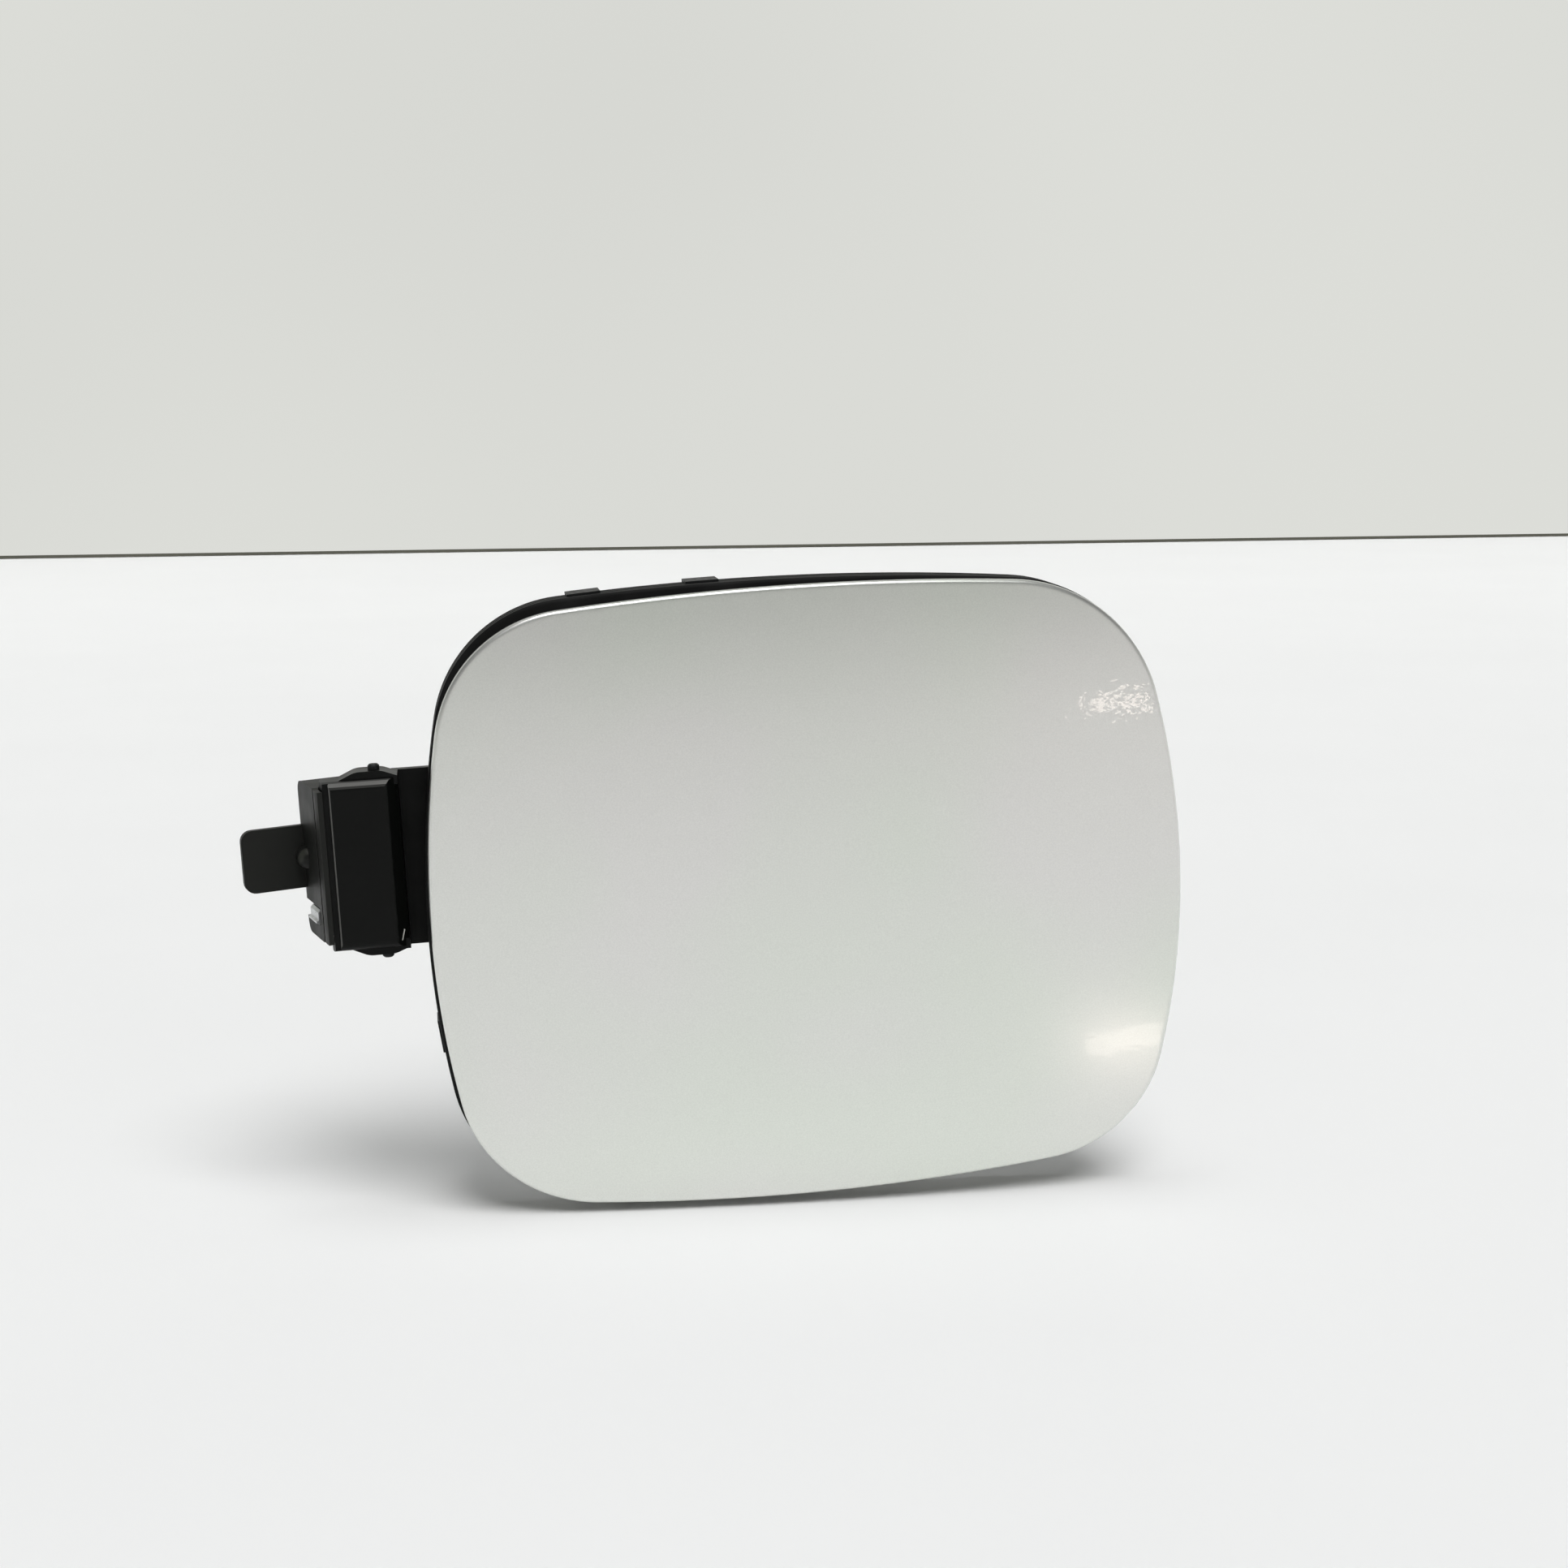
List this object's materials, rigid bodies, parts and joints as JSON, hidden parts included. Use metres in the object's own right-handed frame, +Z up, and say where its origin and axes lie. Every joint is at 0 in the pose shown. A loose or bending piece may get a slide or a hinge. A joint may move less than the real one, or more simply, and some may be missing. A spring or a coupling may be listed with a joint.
{
  "type": "car fuel door",
  "caption": "Car fuel filler door: a crowned, painted panel with rounded corners and a black frame, on a moulded gooseneck hinge arm and a hinge base with a tongue.",
  "frame": {"origin": "middle of the hinge base's flat seat, which bears on the car's filler pocket", "axes": "+X from the hinge to the latch, +Y into the car, +Z up; the door is shut"},
  "size_m": [0.2279, 0.037, 0.1529],
  "materials": {
    "silver_clearcoat_paint": "pale silver-white paint under gloss clearcoat",
    "black_gloss_plastic": "semi-gloss black moulding",
    "black_satin_plastic": "satin black moulding",
    "dark_matte_plastic": "fine grained black moulding",
    "black_rubber": "matt black rubber",
    "zinc_steel": "zinc plated",
    "black_phosphated_steel": "black phosphated spring steel",
    "ivory_acetal": "plain moulded",
    "grey_foam": "closed-cell foam"
  },
  "bodies": {
    "base_side": {"hinge_base": "black_gloss_plastic", "retaining_clip": "zinc_steel", "bush_upper": "ivory_acetal", "bush_lower": "ivory_acetal", "return_spring": "zinc_steel", "stop_buffer": "black_rubber"},
    "door_side": {"hinge_pin": "zinc_steel", "hinge_arm": "black_satin_plastic", "arm_screws": "zinc_steel", "outer_skin": "silver_clearcoat_paint", "edge_seal": "black_rubber", "inner_carrier": "dark_matte_plastic", "edge_clips": "black_phosphated_steel", "foam_pads": "grey_foam", "latch_striker": "dark_matte_plastic", "striker_screws": "zinc_steel", "bump_stop_1": "black_rubber", "bump_stop_2": "black_rubber", "bump_stop_3": "black_rubber", "bump_stop_4": "black_rubber"}
  },
  "joints": [
    {"name": "door_hinge", "type": "hinge", "parent": "base_side", "child": "door_side", "pos_m": [0.0168, -0.007, 0], "axis": [0, 0, -1], "range_deg": [0, 90], "stiffness_Nm_per_rad": 0.08, "springref_deg": -28.65, "deforming": ["return_spring"]}
  ]
}
